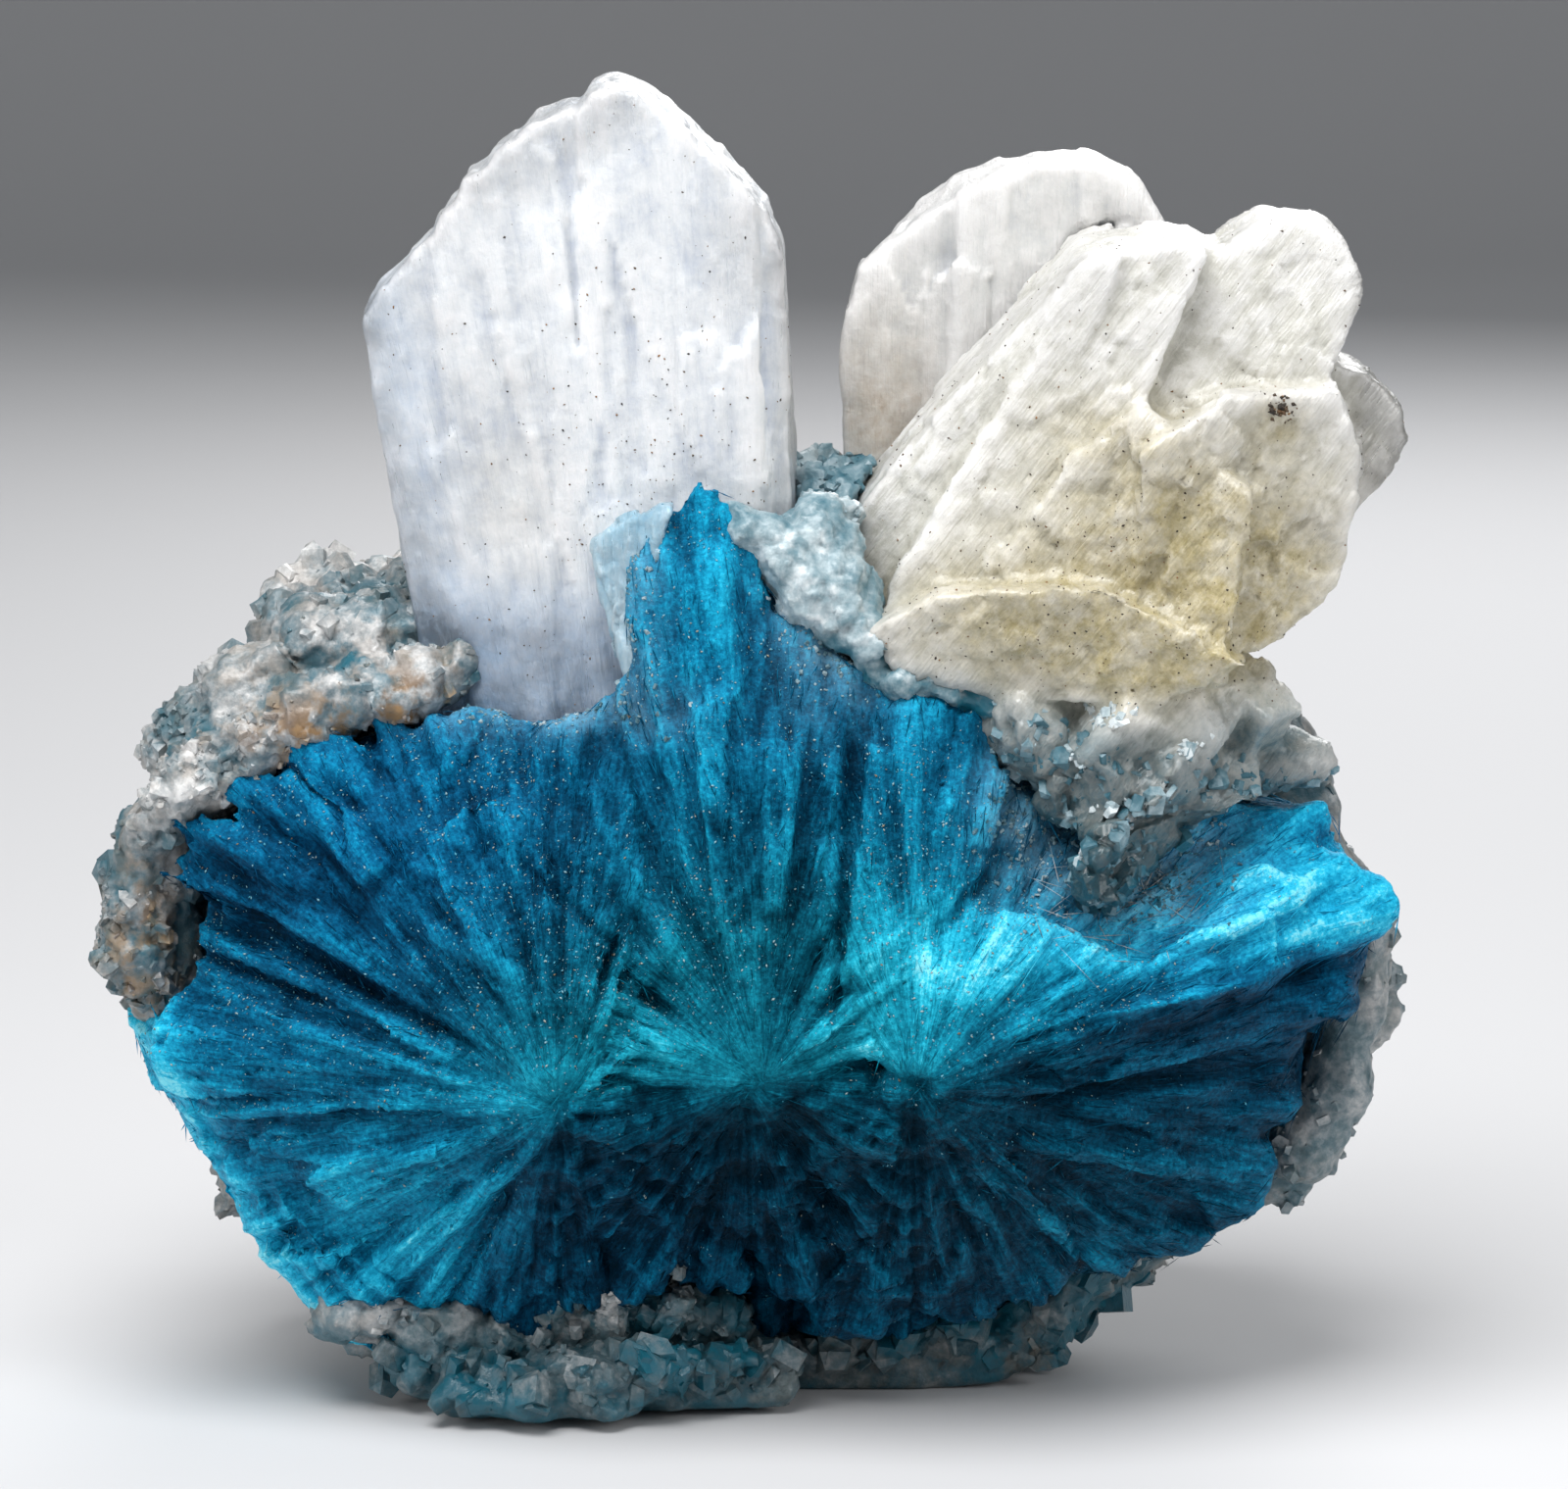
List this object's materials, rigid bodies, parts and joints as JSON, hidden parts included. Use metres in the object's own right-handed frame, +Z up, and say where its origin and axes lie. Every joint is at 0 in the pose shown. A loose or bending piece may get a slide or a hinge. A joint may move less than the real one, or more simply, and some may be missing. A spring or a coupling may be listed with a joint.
{
  "type": "cavansite",
  "caption": "Cavansite specimen: a broken-open rosette of radiating blue blades on a pale zeolite crust, topped by white and cream stilbite crystals.",
  "frame": {"origin": "middle of the flat face under the crust that the specimen rests on", "axes": "+X to the right seen from the broken front, +Y away from the viewer into the crust, +Z up"},
  "size_m": [0.0305, 0.0193, 0.0308],
  "materials": {
    "cavansite": "silky vitreous, finely fibrous",
    "zeolite_crust": "granular, part translucent",
    "stilbite_left": "pearly, part translucent",
    "stilbite_right": "pearly, broken, part translucent",
    "stilbite_back": "pearly, part translucent",
    "druse_saddle": "fine glassy frosting"
  },
  "bodies": {
    "root": {"cavansite": "cavansite", "zeolite_crust": "zeolite_crust", "stilbite_left": "stilbite_left", "stilbite_right": "stilbite_right", "stilbite_back": "stilbite_back", "druse_saddle": "druse_saddle"}
  },
  "joints": []
}
